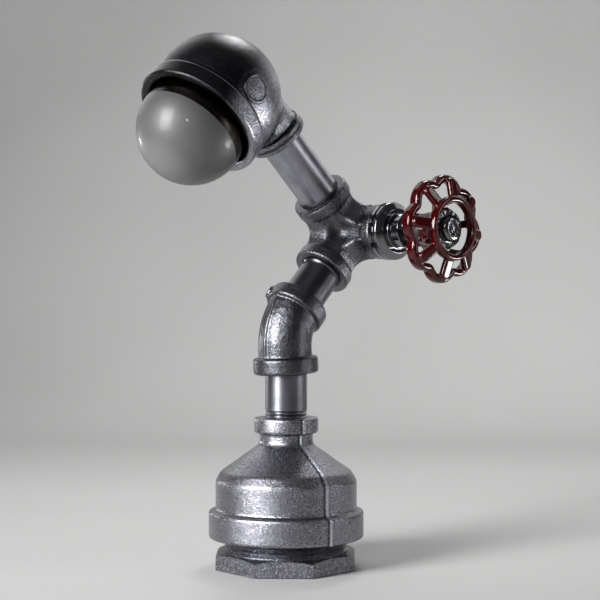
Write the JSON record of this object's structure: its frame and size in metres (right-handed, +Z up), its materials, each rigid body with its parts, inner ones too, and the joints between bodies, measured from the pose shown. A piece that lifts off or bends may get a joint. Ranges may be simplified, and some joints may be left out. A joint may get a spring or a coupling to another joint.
{
  "type": "pipe table lamp",
  "caption": "Table lamp made of iron pipe fittings: reducer base, bent upright, angled arm with a handwheel switch, and a large elbow that shades a reflector bulb.",
  "frame": {"origin": "on the table, on the axis of the base and its upright nipple, at the underside of the foot pad", "axes": "+Z up; the upright leans back towards +Y; the bulb faces forward and down towards -Y; the valve wheel stands out towards +X"},
  "size_m": [0.1149, 0.159, 0.264],
  "materials": {
    "foot_pad": "matte black rubber",
    "base_plug": "galvanised casting, fine grained, satin",
    "reducer": "galvanised casting, fine grained, satin",
    "inlet_grommet": "matte black rubber",
    "terminal_block": "plain white moulding",
    "terminal_screws": "zinc plated",
    "block_screws": "zinc plated",
    "earth_tag": "tinned brass",
    "earth_screw": "zinc plated",
    "lead_base": "plain sleeve",
    "lower_nipple": "galvanised tube, smooth, bright",
    "elbow_45": "galvanised casting, fine grained, satin",
    "mid_nipple": "galvanised tube, smooth, bright",
    "lead_stem": "plain sleeve",
    "corner_fitting": "galvanised casting, fine grained, satin",
    "upper_nipple": "galvanised tube, smooth, bright",
    "lead_arm": "plain sleeve",
    "valve_bonnet": "polished plate",
    "packing_ring": "black graphite packing",
    "packing_nut": "polished plate",
    "switch_body": "black moulding",
    "switch_shaft": "turned brass",
    "valve_stem": "turned, bright",
    "handwheel": "glossy dark red enamel on a casting",
    "wheel_washer": "bright",
    "wheel_nut": "dark polished plate",
    "head_elbow": "darker galvanised casting, smooth satin",
    "lead_head": "plain sleeve",
    "holder_plate": "plated sheet",
    "plate_screws": "zinc plated",
    "holder_body": "glazed white porcelain",
    "holder_shell": "bright brass",
    "holder_contact": "bright brass",
    "bulb_lens": "frosted glass",
    "bulb_reflector": "mirrored glass",
    "bulb_collar": "white cement and ceramic",
    "bulb_capsule": "clear glass",
    "bulb_cap": "bright rolled thread",
    "bulb_insulator": "black glass",
    "bulb_tip": "solder"
  },
  "bodies": {
    "base": {"foot_pad": "foot_pad", "base_plug": "base_plug", "reducer": "reducer", "inlet_grommet": "inlet_grommet", "terminal_block": "terminal_block", "terminal_screws": "terminal_screws", "block_screws": "block_screws", "earth_tag": "earth_tag", "earth_screw": "earth_screw", "lead_base": "lead_base"},
    "stem": {"lower_nipple": "lower_nipple", "elbow_45": "elbow_45", "mid_nipple": "mid_nipple", "lead_stem": "lead_stem"},
    "arm": {"corner_fitting": "corner_fitting", "upper_nipple": "upper_nipple", "lead_arm": "lead_arm", "valve_bonnet": "valve_bonnet", "packing_ring": "packing_ring", "packing_nut": "packing_nut", "switch_body": "switch_body"},
    "valve": {"switch_shaft": "switch_shaft", "valve_stem": "valve_stem", "handwheel": "handwheel", "wheel_washer": "wheel_washer", "wheel_nut": "wheel_nut"},
    "head": {"head_elbow": "head_elbow", "lead_head": "lead_head", "holder_plate": "holder_plate", "plate_screws": "plate_screws", "holder_body": "holder_body", "holder_shell": "holder_shell", "holder_contact": "holder_contact"},
    "bulb": {"bulb_lens": "bulb_lens", "bulb_reflector": "bulb_reflector", "bulb_collar": "bulb_collar", "bulb_capsule": "bulb_capsule", "bulb_cap": "bulb_cap", "bulb_insulator": "bulb_insulator", "bulb_tip": "bulb_tip"}
  },
  "joints": [
    {"name": "stem_swivel", "type": "hinge", "parent": "base", "child": "stem", "pos_m": [0, 0, 0.07], "axis": [0, 0, 1], "range_deg": [-45, 45]},
    {"name": "arm_swivel", "type": "hinge", "parent": "stem", "child": "arm", "pos_m": [0, 0.04403, 0.16992], "axis": [0, 0.6858, 0.7278], "range_deg": [-30, 30]},
    {"name": "valve_turn", "type": "hinge", "parent": "arm", "child": "valve", "pos_m": [0, 0.04403, 0.16992], "axis": [1, 0, 0], "range_deg": [0, 270]},
    {"name": "head_swivel", "type": "hinge", "parent": "arm", "child": "head", "pos_m": [0, -0.03493, 0.24433], "axis": [0, -0.7278, 0.6858], "range_deg": [-60, 60]},
    {"name": "bulb_release", "type": "slide", "parent": "head", "child": "bulb", "axis": [0, -0.6858, -0.7278], "range_m": [0, 0.03]}
  ]
}
